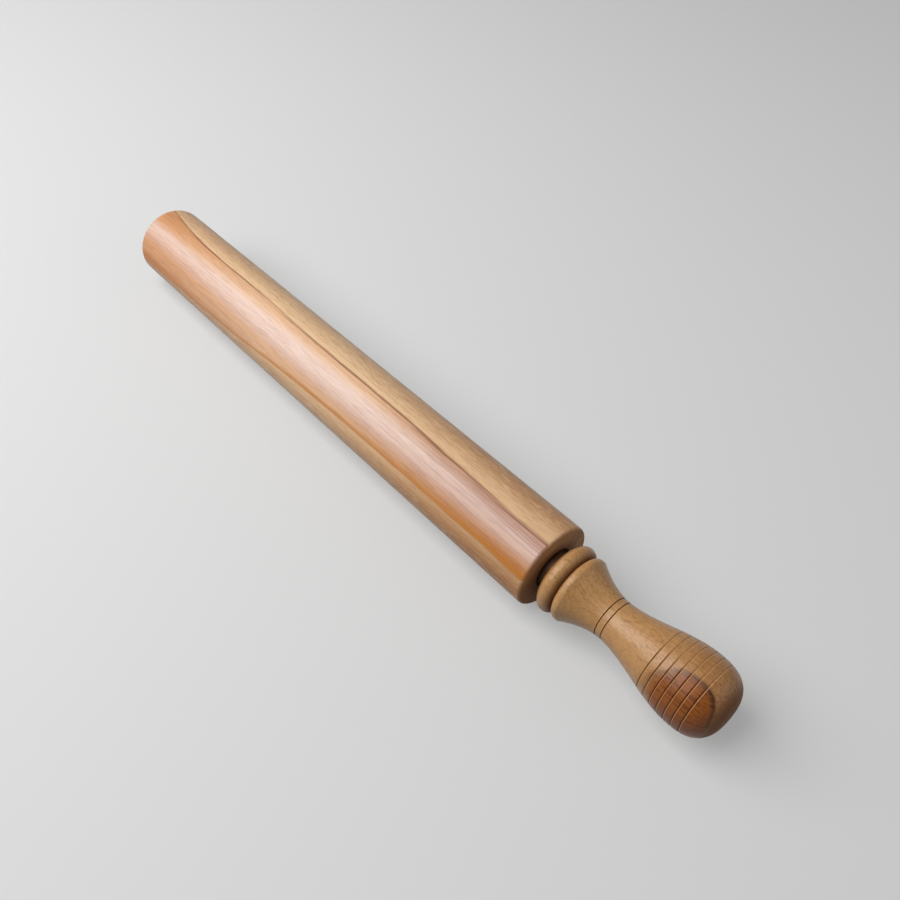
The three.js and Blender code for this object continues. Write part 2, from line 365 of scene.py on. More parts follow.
@dataclass(frozen=True)
class Heartwood:
    """The darker slab on one side of a piece of timber: its edges, and where its tones show.

    Fades go along the piece from 0 to 1, or across it in metres from the slab's middle. Those of the
    streaks, the rings and the line's breaks go by the noise, and those of the glow by the depth.
    """

    angle: float
    edges: tuple[HeartEdge, ...]
    reach: float
    upper_blur: float
    lower_blur: float
    start_blur: float
    line_share: float
    line_width: float
    line_start: float
    streak_share: float
    glow_share: float
    rosy_share: float
    core_share: float
    upper_half: Fade = Fade(-2 * MM, 2 * MM)
    blurred_start: Fade = Fade(0.6, 0.85, 1.0, 0.0)
    # The pale core band lies under the sheen: partly the wood's own paler middle, partly a painted
    # highlight.
    core_middle: float = 1 * MM
    core_side: Fade = Fade(3 * MM, 9 * MM, 1.0, 0.0)
    near_orange: Fade = Fade(0.55, 1.0, 0.1, 1.0)
    far_orange: Fade = Fade(0.45, 0.0, 0.1, 0.7)
    low_orange: Fade = Fade(6 * MM, -11 * MM)
    far_end_orange: Fade = Fade(0.35, 0.0, 0.0, 0.6)
    far_half: Fade = Fade(0.45, 0.0)
    lowest_side: Fade = Fade(-10 * MM, -15 * MM)
    rosy_end: Fade = Fade(0.6, 1.0)
    rosy_side: Fade = Fade(-1 * MM, 9 * MM)
    rosy_streak: float = 0.8
    streak_tone: Fade = Fade(0.46, 0.64)
    ring_tone: Fade = Fade(0.45, 0.75, 0.0, 0.2)
    line_core: float = 0.05 * MM
    line_breaks: Fade = Fade(0.35, 0.6, 0.4, 1.0)
    lower_line: float = 0.4
    line_rise: float = 0.25
    line_least: float = 0.3
    glow_rise: Fade = Fade(-0.3 * MM, 0.2 * MM)
    glow_fall: Fade = Fade(0.2 * MM, 1.4 * MM, 1.0, 0.0)


@dataclass(frozen=True)
class Tones:
    """The colours of a piece of timber."""

    sap_pale: Colour
    sap_dark: Colour
    sap_shade_brown: Colour
    heart_warm: Colour
    heart_core_sheen: Colour
    heart_orange: Colour
    heart_rosy: Colour
    heart_streak: Colour
    edge_line: Colour
    edge_glow: Colour
    pore: Colour
    fibre_shade: Colour
    end_grain: Colour


@dataclass(frozen=True)
class Grain:
    """The marks in a piece of timber: their patterns, and where and how strongly they show.

    A pattern's scale goes along, across and out of the heartwood. That of the rings goes out from the
    pith and along. Tones and flecks go by the noise, the end grain by how squarely the surface faces
    along the pin, and the other fades along or across the piece.
    """

    streak: Pattern = Pattern((9.0, 620.0, 620.0), 4.0, 0.62)
    fibre: Pattern = Pattern((75.0, 1300.0, 1300.0), 3.0, 0.6)
    fleck: Pattern = Pattern((170.0, 1500.0, 1500.0), 2.0, 0.6)
    pore: Pattern = Pattern((90.0, 1900.0, 1900.0), 1.0)
    end_pore: Pattern = Pattern((90.0, 1400.0, 1400.0), 1.0)
    rings: Pattern = Pattern((900.0, 5.0, 1.0), 3.0, 0.6)
    ring_wander: Pattern = Pattern((9.0, 45.0, 45.0), 3.0, 0.55)
    wander_depth: float = 4 * MM
    pith_depth: float = 60 * MM
    edge_wave: Pattern = Pattern((16.0, 12.0, 12.0))
    edge_tooth: Pattern = Pattern((70.0, 700.0, 700.0), 2.0, 0.6)
    wave_size: float = 1.1 * MM
    tooth_size: float = 0.5 * MM
    streak_size: float = 0.9 * MM
    ring_tone: Fade = Fade(0.35, 0.72, 0.0, 0.35)
    streak_tone: Fade = Fade(0.5, 0.75, 0.0, 0.3)
    fibre_tone: Fade = Fade(0.4, 0.75, 0.0, 0.4)
    pore_tone: Fade = Fade(0.64, 0.76, 0.0, 0.35)
    dark_fleck: Fade = Fade(0.5, 0.7, 0.0, 0.4)
    pale_fleck: Fade = Fade(0.45, 0.33, 0.0, 0.8)
    calm_middle: Fade = Fade(13 * MM, 20 * MM, 0.3, 1.0)
    # Where the sapwood is browned as painted shade: towards the ends, the sides and the low side.
    near_gold: Fade = Fade(0.5, 1.0, 0.0, 0.25)
    near_brown: Fade = Fade(0.5, 1.0, 0.4, 1.0)
    far_brown: Fade = Fade(0.5, 0.0, 0.4, 0.8)
    side_brown: Fade = Fade(13 * MM, 22 * MM, 0.0, 0.55)
    low_brown: Fade = Fade(-6 * MM, -18 * MM, 0.0, 0.8)
    end_facing: Fade = Fade(0.45, 0.98)
    end_share: float = 0.7
    end_ring_tone: Fade = Fade(0.4, 0.62, 0.0, 0.65)
    end_pore_tone: Fade = Fade(0.58, 0.7, 0.0, 0.7)


@dataclass(frozen=True)
class Varnish:
    """How the satin varnish shines on the sapwood and on the heartwood, and where it is thin."""

    shine: float = 0.35
    roughness: float = 0.33
    fibre_roughness: float = 0.15
    end_grain_roughness: float = 0.25
    sap_coat: float = 0.0
    heart_coat: float = 1.0
    coat_depth: float = 2.5 * MM
    coat_roughness: float = 0.38
    coat_break: Fade = Fade(0.35, 0.7, 1.0, 0.7)
    low_coat: Fade = Fade(-9 * MM, -15 * MM, 1.0, 0.1)
    relief: float = 0.06 * MM
    relief_strength: float = 0.3


@dataclass(frozen=True)
class CutLook:
    """How cut lines look: dark inside, paled on the side that faces up, and pale at the edge.

    The depth and the edge highlight go by a cut's own tone, and the others across the piece.
    """

    # The dark is partly the cut's own tone, partly painted shade fading out towards the upper side; the
    # paling up top is painted light, the pale edge a painted highlight.
    depth: Fade = Fade(0.05, 0.9)
    dark: Fade = Fade(9 * MM, 17 * MM, 0.8, 0.0)
    clean: Fade = Fade(12 * MM, 18 * MM, 0.0, 0.7)
    edge_highlight: Fade = Fade(0.05, 0.6, 0.0, 0.9)


@dataclass(frozen=True)
class Timber:
    """A satin-varnished piece of timber whose grain runs along the pin."""

    name: str
    axis_height: float
    start: float
    end: float
    heart: Heartwood
    tones: Tones
    grain: Grain = Grain()
    varnish: Varnish = Varnish()
    cuts: Optional[CutLook] = None

    def build(self) -> bpy.types.Material:
        """Makes the timber's material."""
        return TimberPaint(self).build()


class TimberPaint(Paint):
    """Lays out the nodes of a piece of timber, layer by layer."""

    def __init__(self, timber: Timber) -> None:
        """Starts with the values that the layers share.

        Args:
            timber: The piece of timber.
        """
        super().__init__(timber.name)
        self.timber = timber
        self.heart = timber.heart
        self.tones = timber.tones
        self.grain = timber.grain
        self.along, self.across, self.outward = self._directions()
        self.place = self.vector(self.along, self.across, self.outward)
        self.share = self.node("ShaderNodeMapRange", self.along, timber.start, timber.end).outputs[0]
        self.upper = self.fade(self.across, self.heart.upper_half)
        self.streak = self.noise(self.place, self.grain.streak)
        self.fibre = self.noise(self.place, self.grain.fibre)
        self.rings = self._rings()
        self.inside = self._inside_heart()
        facing = self.math("ABSOLUTE", self.split("Normal")[0])
        self.end_grain = self.fade(facing, self.grain.end_facing)

    def build(self) -> bpy.types.Material:
        """Paints the sapwood, the heartwood, the marks on both and the cut ends, and varnishes them.

        Returns:
            The material.
        """
        heart = self.heart
        blur = self.fade(self.upper, Fade(0.0, 1.0, heart.lower_blur, heart.upper_blur))
        start_blur = self.times(self.fade(self.share, heart.blurred_start), heart.start_blur)
        blur = self.math("ADD", blur, start_blur)
        amount = self.fade(self.inside, Fade(self.times(blur, -1.0), blur))
        colour = self.mix(amount, self._sapwood(), self._heartwood())
        colour = self._fibres(self._edges(colour))
        end_share = self.times(self.end_grain, self.grain.end_share)
        colour = self.mix(end_share, colour, self._cut_ends())
        if self.timber.cuts is not None:
            colour = self._cuts(colour, self.timber.cuts)
        self.shade("Base Color", colour)
        self._shine()
        return self.material

    def _directions(self) -> tuple[Socket, Socket, Socket]:
        """Turns the piece's own coordinates into the timber's directions.

        Returns:
            The place along the pin, across the heartwood and out of it.
        """
        x, y, z = self.split("Object")
        up = self.math("SUBTRACT", z, self.timber.axis_height)
        sine = math.sin(math.radians(self.heart.angle))
        cosine = math.cos(math.radians(self.heart.angle))
        across = self.math("SUBTRACT", self.times(y, cosine), self.times(up, sine))
        outward = self.math("ADD", self.times(y, sine), self.times(up, cosine))
        return x, across, outward

    def _rings(self) -> Socket:
        """Gives the yearly rings as uneven dark and pale layers round the pith.

        Returns:
            The layers, from 0 to 1.
        """
        depth = self.math("SUBTRACT", self.outward, self.grain.pith_depth)
        squares = self.math("MULTIPLY_ADD", depth, depth, self.times(self.across, self.across))
        distance = self.math("SQRT", squares)
        wander = self.noise(self.place, self.grain.ring_wander)
        radius = self.math("MULTIPLY_ADD", wander, self.grain.wander_depth, distance)
        return self.noise(self.vector(radius, self.along, 0.0), self.grain.rings)

    def _inside_heart(self) -> Socket:
        """Gives how deep a point lies inside the heartwood, whose edge wanders a little.

        Returns:
            The depth in metres, below 0 in the sapwood.
        """
        grain = self.grain
        edges = self.heart.edges
        reach = self.heart.reach
        heights = self.curve(self.share, [(edge.share, edge.height / reach) for edge in edges])
        leans = self.curve(self.share, [(edge.share, edge.lean + LEAN_SHIFT) for edge in edges])
        lean = self.math("SUBTRACT", leans, LEAN_SHIFT)
        edge = self.math("MULTIPLY_ADD", lean, self.across, self.times(heights, reach))
        wave = self.noise(self.place, grain.edge_wave)
        tooth = self.noise(self.place, grain.edge_tooth)
        sizes = (grain.wave_size, grain.tooth_size, grain.streak_size)
        for noise, size in zip((wave, tooth, self.streak), sizes):
            swing = self.math("SUBTRACT", noise, NOISE_MIDDLE)
            edge = self.math("MULTIPLY_ADD", swing, size, edge)
        return self.math("SUBTRACT", self.outward, edge)

    def _sapwood(self) -> Socket:
        """Gives the sapwood's tan with painted shade at the sides and ends, and short pale and dark
        flecks.

        Returns:
            The colour.
        """
        grain = self.grain
        tones = self.tones
        colour = self.mix(self.fade(self.rings, grain.ring_tone), tones.sap_pale, tones.sap_dark)
        colour = self.mix(self.fade(self.streak, grain.streak_tone), colour, tones.sap_dark)
        # Painted shade: browner towards the ends, the sides and the low side, where less light falls.
        colour = self.mix(self.fade(self.share, grain.near_gold), colour, tones.sap_shade_brown)
        near = self.fade(self.share, grain.near_brown)
        ends = self.most(near, self.fade(self.share, grain.far_brown))
        aside = self.math("ABSOLUTE", self.across)
        sides = self.most(self.fade(aside, grain.side_brown), self.fade(self.across, grain.low_brown))
        colour = self.mix(self.times(ends, sides), colour, tones.sap_shade_brown)
        flecks = self.noise(self.place, grain.fleck)
        calm = self.fade(aside, grain.calm_middle)
        dark = self.times(self.fade(flecks, grain.dark_fleck), calm)
        colour = self.mix(dark, colour, tones.heart_streak)
        pale = self.times(self.fade(flecks, grain.pale_fleck), calm)
        return self.mix(pale, colour, tones.sap_pale)

    def _heartwood(self) -> Socket:
        """Gives the heartwood's peach, pale along its core, orange low down and rosy by the handle.

        Returns:
            The colour.
        """
        heart = self.heart
        tones = self.tones
        # The pale core band: partly the wood's own paler middle, partly a painted highlight where the
        # sheen falls.
        off_core = self.math("ABSOLUTE", self.math("SUBTRACT", self.across, heart.core_middle))
        core = self.times(self.fade(off_core, heart.core_side), heart.core_share)
        colour = self.mix(core, tones.heart_warm, tones.heart_core_sheen)
        near = self.fade(self.share, heart.near_orange)
        ends = self.most(near, self.fade(self.share, heart.far_orange))
        orange = self.times(ends, self.fade(self.across, heart.low_orange))
        far_end = self.times(self.fade(self.share, heart.far_end_orange), self.rest(core))
        lowest = self.fade(self.across, heart.lowest_side)
        far_low = self.times(self.fade(self.share, heart.far_half), lowest)
        orange = self.most(self.most(orange, far_end), far_low)
        colour = self.mix(orange, colour, tones.heart_orange)
        handle_end = self.times(self.fade(self.share, heart.rosy_end), heart.rosy_share)
        rosy = self.times(handle_end, self.fade(self.across, heart.rosy_side))
        colour = self.mix(rosy, colour, tones.heart_rosy)
        deep = self.math("MULTIPLY_ADD", rosy, heart.rosy_streak, heart.streak_share)
        dark = self.times(self.fade(self.streak, heart.streak_tone), deep)
        colour = self.mix(dark, colour, tones.heart_streak)
        return self.mix(self.fade(self.rings, heart.ring_tone), colour, tones.heart_streak)

    def _edges(self, colour: Socket) -> Socket:
        """Adds the dark line on the heartwood's edge, and the soft glow inside its lower edge.

        Args:
            colour: The colour so far.

        Returns:
            The colour with them.
        """
        heart = self.heart
        distance = self.math("ABSOLUTE", self.inside)
        line = self.fade(distance, Fade(heart.line_core, heart.line_width, 1.0, 0.0))
        broken = self.fade(self.streak, heart.line_breaks)
        upper = self.fade(self.upper, Fade(0.0, 1.0, heart.lower_line, 1.0))
        full = heart.line_start + heart.line_rise
        along = self.fade(self.share, Fade(heart.line_start, full, heart.line_least, 1.0))
        line = self.times(line, broken, upper, along, heart.line_share)
        colour = self.mix(line, colour, self.tones.edge_line)
        rise = self.times(self.fade(self.inside, heart.glow_rise), heart.glow_share)
        fall = self.fade(self.inside, heart.glow_fall)
        glow = self.times(rise, fall, self.rest(self.upper))
        return self.mix(glow, colour, self.tones.edge_glow)

    def _fibres(self, colour: Socket) -> Socket:
        """Adds the fine fibres and the short open pores along the grain.

        Args:
            colour: The colour so far.

        Returns:
            The colour with them.
        """
        grain = self.grain
        shade = self.fade(self.fibre, grain.fibre_tone)
        colour = self.mix(shade, colour, self.tones.fibre_shade, "MULTIPLY")
        pores = self.noise(self.place, grain.pore)
        return self.mix(self.fade(pores, grain.pore_tone), colour, self.tones.pore)

    def _cut_ends(self) -> Socket:
        """Gives the end grain, with the yearly rings as darker arcs and the pores as fine dots.

        Returns:
            The colour.
        """
        grain = self.grain
        arcs = self.fade(self.rings, grain.end_ring_tone)
        colour = self.mix(arcs, self.tones.end_grain, self.tones.heart_streak)
        dots = self.noise(self.place, grain.end_pore)
        return self.mix(self.fade(dots, grain.end_pore_tone), colour, self.tones.pore)

    def _cuts(self, colour: Socket, look: CutLook) -> Socket:
        """Darkens the cut lines, partly as painted shade, paints light on their upper side and edge
        highlights.

        Args:
            colour: The colour so far.
            look: How the lines look.

        Returns:
            The colour with them.
        """
        cut = self.node("ShaderNodeAttribute", attribute_name=PAINTED_TONE_LAYER).outputs["Fac"]
        depth = self.fade(cut, look.depth)
        # Painted shade in the cuts, strongest on the lower side.
        dark = self.times(depth, self.fade(self.across, look.dark))
        colour = self.mix(dark, colour, self.tones.edge_line)
        # Painted light: the cuts paled on the upper side, where light falls.
        clean = self.times(depth, self.fade(self.across, look.clean))
        colour = self.mix(clean, colour, self.tones.sap_pale)
        # Painted highlight on the cuts' edges towards the tip.
        edge_highlight = self.fade(self.times(cut, -1.0), look.edge_highlight)
        return self.mix(edge_highlight, colour, self.tones.sap_pale)

    def _shine(self) -> None:
        """Sets the varnish over the colour, with the fibres as a fine relief."""
        varnish = self.timber.varnish
        rough = self.math("MULTIPLY_ADD", self.fibre, varnish.fibre_roughness, varnish.roughness)
        rough = self.math("MULTIPLY_ADD", self.end_grain, varnish.end_grain_roughness, rough)
        self.shade("Roughness", rough)
        self.shade("Specular IOR Level", varnish.shine)
        inside = Fade(0.0, varnish.coat_depth, varnish.sap_coat, varnish.heart_coat)
        broken = self.fade(self.fibre, varnish.coat_break)
        low = self.fade(self.across, varnish.low_coat)
        coat = self.times(self.fade(self.inside, inside), broken, self.rest(self.end_grain), low)
        self.shade("Coat Weight", coat)
        self.shade("Coat Roughness", varnish.coat_roughness)
        self.bump(self.fibre, varnish.relief, varnish.relief_strength)


@dataclass(frozen=True)
class PlainFinish:
    """A metal, plastic or rubber finish with fine marks along or around the piece."""

    slot: Finish
    colour: Colour
    worn_colour: Colour
    metallic: float
    roughness: float
    marks: Pattern
    mark_roughness: float = 0.2
    relief: float = 0.02 * MM
    relief_strength: float = 0.2

    def build(self) -> bpy.types.Material:
        """Makes the finish's material.

        Returns:
            The material.
        """
        paint = Paint(f"{self.slot.value}_finish")
        marks = paint.noise(paint.vector(*paint.split("Object")), self.marks)
        paint.shade("Base Color", paint.mix(marks, self.colour, self.worn_colour))
        rough = paint.math("MULTIPLY_ADD", marks, self.mark_roughness, self.roughness)
        paint.shade("Roughness", rough)
        paint.shade("Metallic", self.metallic)
        paint.bump(marks, self.relief, self.relief_strength)
        return paint.material


@dataclass(frozen=True)
class Station:
    """One point of a turned outline: its place along the pin, its radius and its painted tone of shade
    and highlight.
    """

    place: float
    radius: float
    cut: float = 0.0


def arc(
    centre: Station, half_length: float, height: float, start: float, end: float, steps: int
) -> list[Station]:
    """Gives the stations of an elliptical arc.

    Args:
        centre: The arc's centre.
        half_length: Its half length along the pin.
        height: Its height away from the axis.
        start: The direction it starts in, in degrees.
        end: The direction it ends in.
        steps: How many steps it has.

    Returns:
        The stations in order.
    """
    stations = []
    for index in range(steps + 1):
        angle = math.radians(start + (end - start) * index / steps)
        place = centre.place + half_length * math.cos(angle)
        stations.append(Station(place, centre.radius + height * math.sin(angle)))
    return stations


def turn(
    name: str, outline: Sequence[Station], axis_height: float, closed: bool, steps: int
) -> bpy.types.Object:
    """Turns an outline about the pin's axis, as on a lathe.

    Args:
        name: The piece's name.
        outline: The outline's stations in order.
        axis_height: The height of the pin's axis.
        closed: Whether the outline goes back to its start.
        steps: How many steps the full turn has.

    Returns:
        The piece.
    """
    shape = bmesh.new()
    cut = shape.verts.layers.float.new(PAINTED_TONE_LAYER)
    corners = []
    for station in outline:
        corner = shape.verts.new((station.place, 0.0, axis_height + station.radius))
        # The layer carries each station's painted shade and highlight.
        corner[cut] = station.cut
        corners.append(corner)
    edges = [shape.edges.new(pair) for pair in zip(corners, corners[1:])]
    if closed:
        edges.append(shape.edges.new((corners[-1], corners[0])))
    bmesh.ops.spin(shape, geom=[*corners, *edges], cent=(0.0, 0.0, axis_height),
                   axis=(1.0, 0.0, 0.0), angle=2 * math.pi, steps=steps, use_merge=True)
    bmesh.ops.remove_doubles(shape, verts=shape.verts, dist=MERGE_DISTANCE)
    bmesh.ops.recalc_face_normals(shape, faces=shape.faces)
    for face in shape.faces:
        face.smooth = True
    mesh = bpy.data.meshes.new(name)
    shape.to_mesh(mesh)
    shape.free()
    mesh.set_sharp_from_angle(angle=math.radians(SHARP_ANGLE))
    piece = bpy.data.objects.new(name, mesh)
    bpy.context.scene.collection.objects.link(piece)
    return piece


def dress(
    piece: bpy.types.Object, material: bpy.types.Material, body: Body, slot: Finish, node: str
) -> None:
    """Gives a new piece its finish, its body and the node it stands for.

    Args:
        piece: The piece.
        material: Its finish.
        body: The body it rides on.
        slot: The record's slot of its finish; not used.
        node: The node that it replaces.
    """
    piece.data.materials.append(material)
    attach(piece, body.value)
    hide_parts(node)
    LOG.info("%s: %d faces on %s", piece.name, len(piece.data.polygons), body.value)


@dataclass
class Roller:
    """The straight wooden roller, bored through for the axle, and the plug in its far end."""

    edge_round: float = 1.6 * MM
    edge_steps: int = 8
    pocket_slack: float = 0.15 * MM
    bore_radius: float = 7.6 * MM
    plug_ease: float = 0.4 * MM
    plug_steps: int = 4
    steps: int = 160

    def __post_init__(self) -> None:
        """Takes the roller's place and size from the frame."""
        low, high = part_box("roller")
        self.far_face = low.x
        self.near_face = high.x
        self.radius = (high.y - low.y) / 2
        self.axis_height = (high.z + low.z) / 2

    def build(self) -> tuple[bpy.types.Object, bpy.types.Object]:
        """Makes the roller and its plug."""
        return self._roller(), self._plug()

    def _roller(self) -> bpy.types.Object:
        """Turns the roller with its through bore and its two bearing pockets.

        Returns:
            The roller.
        """
        near_ring_low, near_ring_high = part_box("handle_bearing_outer_ring")
        far_ring_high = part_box("far_bearing_outer_ring")[1]
        pocket = (near_ring_high.y - near_ring_low.y) / 2 + self.pocket_slack
        edge = self.edge_round
        far_corner = Station(self.far_face + edge, self.radius - edge)
        near_corner = Station(self.near_face - edge, self.radius - edge)
        outline = [
            Station(self.far_face, pocket),
            *arc(far_corner, edge, edge, TO_ROLLER, UPWARD, self.edge_steps),
            *arc(near_corner, edge, edge, UPWARD, TO_TIP, self.edge_steps),
            Station(self.near_face, pocket),
            Station(near_ring_low.x, pocket),
            Station(near_ring_low.x, self.bore_radius),
            Station(far_ring_high.x, self.bore_radius),
            Station(far_ring_high.x, pocket),
        ]
        return turn("roller_wood", outline, self.axis_height, True, self.steps)

    def _plug(self) -> bpy.types.Object:
        """Turns the plug with a slightly eased outer edge.

        Returns:
            The plug.
        """
        low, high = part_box("end_plug")
        radius = (high.y - low.y) / 2
        ease = self.plug_ease
        corner = Station(low.x + ease, radius - ease)
        rim = arc(corner, ease, ease, TO_ROLLER, UPWARD, self.plug_steps)
        outline = [Station(low.x, 0.0), *rim, Station(high.x, radius), Station(high.x, 0.0)]
        return turn("end_plug_wood", outline, self.axis_height, False, self.steps)


@dataclass(frozen=True)
class CutLines:
    """A set of evenly spaced lines cut round the handle.

    The tones, the clearing and the fine steps are measured in half widths from a line's middle.
    """

    count: int
    pitch: float
    middle: float
    half_width: float
    depth: float
    wall_sweep: float = 1.15
    # The wall near the roller, turned from the light, gets the cut's own dark and painted shade; the
    # tip-side edge gets a painted highlight.
    dark_middle: float = -0.35
    dark_reach: float = 0.75
    highlight_middle: float = 0.85
    highlight_reach: float = 0.5
    highlight_share: float = 0.6
    cleared: float = 1.5
    fine_steps: int = 5
    fine_reach: int = 7

    def places(self) -> list[float]:
        """Gives the middle of each line along the pin."""
        first = self.middle - self.pitch * (self.count - 1) / 2
        return [first + self.pitch * index for index in range(self.count)]

    def offset(self, place: float) -> float:
        """Gives how far a place lies from its nearest line, in half widths, positive towards the tip."""
        nearest = min(self.places(), key=lambda line: abs(place - line))
        return (place - nearest) / self.half_width

    def depth_at(self, place: float) -> float:
        """Gives how deep the cut is at a place."""
        return self.depth * max(0.0, 1 - abs(self.offset(place))) ** self.wall_sweep

    def tone_at(self, place: float) -> float:
        """Gives the cut's tone at a place.

        Args:
            place: The place along the pin.

        Returns:
            The tone, above 0 on the wall near the roller in painted shade, and below 0 on the painted
            highlight.
        """
        offset = self.offset(place)
        dark = max(0.0, 1 - abs(offset - self.dark_middle) / self.dark_reach)
        # The painted highlight on the edge towards the tip.
        pale = max(0.0, 1 - abs(offset - self.highlight_middle) / self.highlight_reach)
        return dark - self.highlight_share * pale

    def refine(self, places: set[float]) -> set[float]:
        """Swaps the places in and beside each line for finer ones.

        Args:
            places: The places along the grip.

        Returns:
            The places with the finer ones.
        """
        fine = [step / self.fine_steps for step in range(-self.fine_reach, self.fine_reach + 1)]
        for line in self.places():
            places = {place for place in places if abs(place - line) > self.cleared * self.half_width}
            places.update(line + self.half_width * share for share in fine)
        return places


@dataclass
class Handle:
    """The turned handle: nose, bead, bell, neck, pear-shaped bulb and domed end."""

    nose_radius: float = 9.5 * MM
    bead_gap: float = 4.2 * MM
    bead_width: float = 9.4 * MM
    bead_radius: float = 18.4 * MM
    bead_height: float = 6.0 * MM
    bead_steps: int = 36
    lip_round: float = 2.8 * MM
    lip_height: float = 2.8 * MM
    lip_land: float = 1.2 * MM
    lip_steps: int = 12
    bell_radius: float = 17.3 * MM
    bell_length: float = 19.9 * MM
    bell_sweep: float = 1.8
    neck_radius: float = 10.5 * MM
    neck_line_setback: float = 0.5 * MM
    swell_length: float = 43.5 * MM
    groove_setback: float = 5 * MM
    dome_squareness: float = 2.7
    flange_width: float = 1.2 * MM
    flange_thickness: float = 1.6 * MM
    seat_slack: float = 0.15 * MM
    hole_slack: float = 1.0 * MM
    # Painted shade in the hollows of the nose, bead and lip: its strength, the radius below which it is
    # full, and how far it fades.
    hollow_shade: float = 1.2
    hollow_radius: float = 10.5 * MM
    hollow_fade: float = 3.0 * MM
    grip_step: float = 0.55 * MM
    dome_steps: int = 40
    steps: int = 160

    def __post_init__(self) -> None:
        """Takes the handle's place and size from the frame and works out the places along it."""
        low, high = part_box("handle")
        self.nose_face = low.x
        self.tip = high.x
        self.bulb_radius = (high.y - low.y) / 2
        self.axis_height = (high.z + low.z) / 2
        self.roller_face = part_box("roller")[1].x
        self.lip_start = self.roller_face + self.bead_gap + self.bead_width
        self.bell_start = self.lip_start + self.lip_round + self.lip_land
        self.neck = self.bell_start + self.bell_length
        self.bulb = self.neck + self.swell_length
        self.dome_length = self.tip - self.bulb
        neck_lines = CutLines(count=2, pitch=3.3 * MM, middle=self.neck - self.neck_line_setback,
                              half_width=0.4 * MM, depth=0.4 * MM)
        grooves = CutLines(count=7, pitch=3.97 * MM, middle=self.bulb - self.groove_setback,
                           half_width=0.45 * MM, depth=0.35 * MM)
        self.line_sets = (neck_lines, grooves)

    def grip_radius(self, place: float) -> float:
        """Gives the plain radius of the bell, the grip or the dome.

        Args:
            place: The place along the pin.

        Returns:
            The radius there, with no lines cut.
        """
        if place <= self.neck:
            share = min(1.0, (self.neck - place) / self.bell_length)
            return self.neck_radius + (self.bell_radius - self.neck_radius) * share ** self.bell_sweep
        if place <= self.bulb:
            swell = smoothstep(self.neck, self.bulb, place)
            return self.neck_radius + (self.bulb_radius - self.neck_radius) * swell
        share = min(1.0, (place - self.bulb) / self.dome_length)
        return self.bulb_radius * (1 - share ** self.dome_squareness) ** (1 / self.dome_squareness)

    def grip_station(self, place: float) -> Station:
        """Gives the grip's station at a place, with the lines cut into it.

        Args:
            place: The place along the pin.

        Returns:
            The station.
        """
        depth = sum(lines.depth_at(place) for lines in self.line_sets)
        tone = sum(lines.tone_at(place) for lines in self.line_sets)
        return Station(place, self.grip_radius(place) - depth, tone)

    def grip_places(self) -> list[float]:
        """Gives the places along the grip, closer together in the lines and on the dome.

        Returns:
            The places in order.
        """
        places = set()
        count = round((self.bulb - self.bell_start) / self.grip_step)
        for index in range(count):
            places.add(self.bell_start + (self.bulb - self.bell_start) * index / count)
        for index in range(self.dome_steps):
            angle = math.pi / 2 * index / self.dome_steps
            places.add(self.bulb + self.dome_length * math.sin(angle) ** (2 / self.dome_squareness))
        for lines in self.line_sets:
            places = lines.refine(places)
        return sorted(places)

    def hole(self) -> list[Station]:
        """Gives the blind hole for the axle and the seat for its insert, from the bottom outwards.

        Returns:
            The stations in order.
        """
        insert_low, insert_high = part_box("threaded_insert")
        axle_low, axle_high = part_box("axle")
        flange = (insert_high.y - insert_low.y) / 2 + self.seat_slack
        seat = flange - self.flange_width
        hole = (axle_high.y - axle_low.y) / 2 + self.seat_slack
        bottom = axle_high.x + self.hole_slack
        flange_back = self.nose_face + self.flange_thickness
        return [
            Station(bottom, 0.0),
            Station(bottom, hole),
            Station(insert_high.x + self.seat_slack, hole),
            Station(insert_high.x + self.seat_slack, seat),
            Station(flange_back, seat),
            Station(flange_back, flange),
            Station(self.nose_face, flange),
        ]

    def shaded(self, station: Station) -> Station:
        """Darkens a station of the nose, bead or lip with painted shade, full in the narrow hollows."""
        fade = smoothstep(self.hollow_radius, self.hollow_radius + self.hollow_fade, station.radius)
        return Station(station.place, station.radius, self.hollow_shade * (1 - fade))

    def build(self) -> bpy.types.Object:
        """Turns the handle, with the hole for the axle and its insert.

        Returns:
            The handle.
        """
        bead_start = self.roller_face + self.bead_gap
        bead_middle = Station(bead_start + self.bead_width / 2, self.bead_radius - self.bead_height)
        lip_middle = Station(self.lip_start + self.lip_round, self.bell_radius - self.lip_height)
        bead = arc(bead_middle, self.bead_width / 2, self.bead_height, TO_ROLLER, TO_TIP,
                   self.bead_steps)
        lip = arc(lip_middle, self.lip_round, self.lip_height, TO_ROLLER, UPWARD, self.lip_steps)
        nose = [Station(place, self.nose_radius)
                for place in (self.nose_face, self.roller_face, bead_start)]
        outline = [
            *self.hole(),
            # The nose, bead and lip carry painted shade in their hollows.
            *[self.shaded(station) for station in (*nose, *bead[:-1], *lip)],
            *[self.grip_station(place) for place in self.grip_places()],
            Station(self.tip, 0.0),
        ]
        return turn("handle_wood", outline, self.axis_height, False, self.steps)


def hang_lamp(name: str, size: Pair, watts: float, place: Vector, side: Vector) -> None:
    """Hangs a soft rectangular lamp.

    Args:
        name: The lamp's name.
        size: Its two sides.
        watts: Its power.
        place: Its middle.
        side: The direction that its back faces.
    """
    lamp = bpy.data.lights.new(name, "AREA")
    lamp.shape = "RECTANGLE"
    lamp.size, lamp.size_y = size
    lamp.energy = watts
    holder = bpy.data.objects.new(name, lamp)
    holder.location = place
    holder.rotation_euler = side.to_track_quat("Z", "Y").to_euler()
    bpy.context.scene.collection.objects.link(holder)


